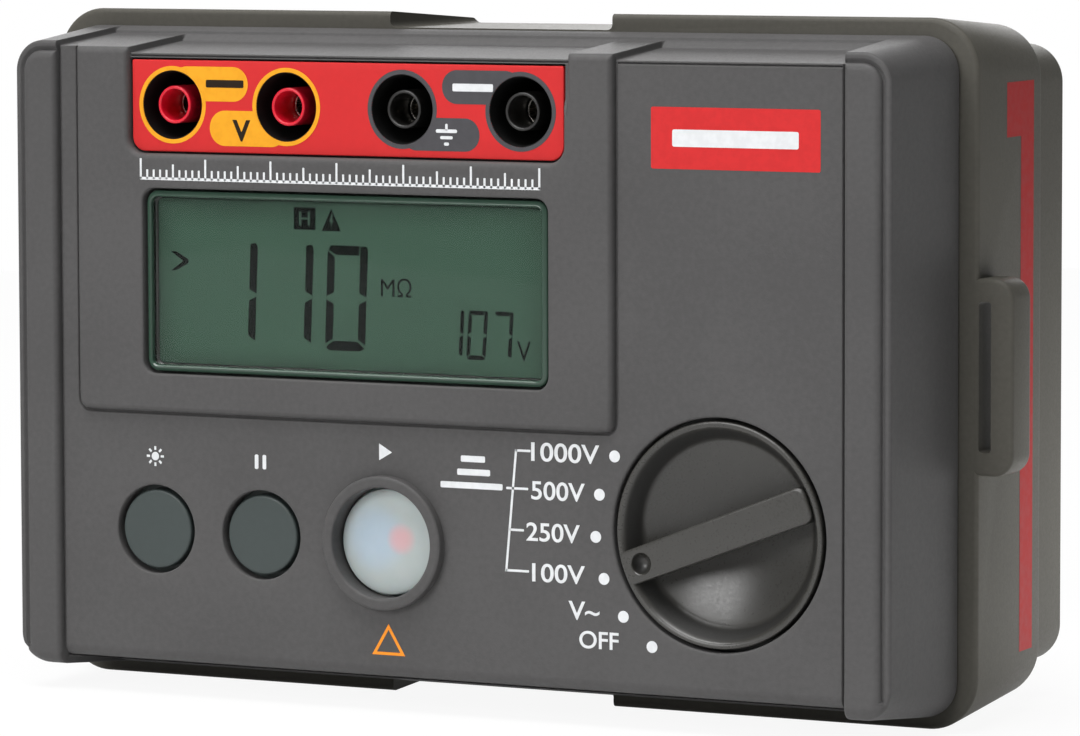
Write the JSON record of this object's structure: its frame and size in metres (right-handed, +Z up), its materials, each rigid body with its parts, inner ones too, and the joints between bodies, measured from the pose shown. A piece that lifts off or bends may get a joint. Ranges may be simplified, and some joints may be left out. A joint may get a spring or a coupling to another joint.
{
  "type": "insulation resistance tester",
  "caption": "Dark grey hand-held insulation resistance tester with a display, a red socket panel, push buttons and a rotary range knob.",
  "frame": {"origin": "centre of the bounding box at the underside of the rear shell's rim", "axes": "+Z up along the front panel, front panel faces -Y, +X to the right of someone who reads the display"},
  "size_m": [0.1608, 0.062, 0.0996],
  "materials": {
    "case_grey": "fine-grained moulded face, dark grey",
    "shell_grey": "moulded rear shell, dark grey",
    "knob_grey": "satin dark grey, smoother than the case",
    "input_red": "printed red sheet",
    "socket_red": "red insulating sleeve",
    "socket_black": "black insulating moulding",
    "window_clear": "clear acrylic window",
    "glass_green": "liquid crystal glass, grey-green",
    "light_white": "white light guide",
    "cap_slate": "soft-touch key cap, slate",
    "cap_milk": "milky translucent key cap",
    "lamp_clear": "small red lamp",
    "board_green": "glass-fibre circuit board with green resist",
    "part_black": "black moulded component",
    "part_blue": "blue component case",
    "nickel": "nickel plate",
    "brass": "brass contact",
    "steel": "plated steel screw",
    "cell_sleeve": "plain sleeve of a cell"
  },
  "bodies": {
    "case": {"battery_cover": "shell_grey", "board_header": "part_black", "board_screw_1": "steel", "board_screw_2": "steel", "board_screw_3": "steel", "board_screw_4": "steel", "buzzer": "part_black", "case_screw_1": "steel", "case_screw_2": "steel", "case_screw_3": "steel", "case_screw_4": "steel", "cell_1": "cell_sleeve", "cell_2": "cell_sleeve", "cell_3": "cell_sleeve", "cell_4": "cell_sleeve", "cell_5": "cell_sleeve", "cell_6": "cell_sleeve", "cell_7": "cell_sleeve", "cell_8": "cell_sleeve", "contact_strip_left": "nickel", "contact_strip_right": "nickel", "cover_screw_1": "steel", "cover_screw_2": "steel", "display_backlight": "light_white", "display_frame": "part_black", "display_glass": "glass_green", "display_window": "window_clear", "front_case": "case_grey", "fuse": "nickel", "fuse_holder": "part_black", "hold_switch": "part_black", "hv_capacitor": "part_blue", "hv_transformer": "part_black", "input_panel": "input_red", "light_switch": "part_black", "main_board": "board_green", "main_chip": "part_black", "power_board": "board_green", "power_screw_1": "steel", "power_screw_2": "steel", "range_relay": "part_blue", "rear_case": "shell_grey", "socket_block": "socket_black", "socket_contact_1": "brass", "socket_contact_2": "brass", "socket_contact_3": "brass", "socket_contact_4": "brass", "socket_sleeve_1": "socket_red", "socket_sleeve_2": "socket_red", "socket_sleeve_3": "socket_black", "socket_sleeve_4": "socket_black", "test_bezel": "case_grey", "test_lamp": "lamp_clear", "test_switch": "part_black"},
    "knob": {"selector_knob": "knob_grey", "switch_rotor": "part_black", "rotor_clip": "steel"},
    "light_key": {"light_button": "cap_slate"},
    "hold_key": {"hold_button": "cap_slate"},
    "test_key": {"test_button": "cap_milk"}
  },
  "joints": [
    {"name": "knob_turn", "type": "hinge", "parent": "case", "child": "knob", "pos_m": [0.0441, -0.0295, 0.028], "axis": [0, -1, 0], "range_deg": [-54, 36]},
    {"name": "light_press", "type": "slide", "parent": "case", "child": "light_key", "axis": [0, 1, 0], "range_m": [0, 0.0008], "stiffness_N_per_m": 600, "springref_m": -0.0008},
    {"name": "hold_press", "type": "slide", "parent": "case", "child": "hold_key", "axis": [0, 1, 0], "range_m": [0, 0.0008], "stiffness_N_per_m": 600, "springref_m": -0.0008},
    {"name": "test_press", "type": "slide", "parent": "case", "child": "test_key", "axis": [0, 1, 0], "range_m": [0, 0.002], "stiffness_N_per_m": 400, "springref_m": -0.002}
  ]
}
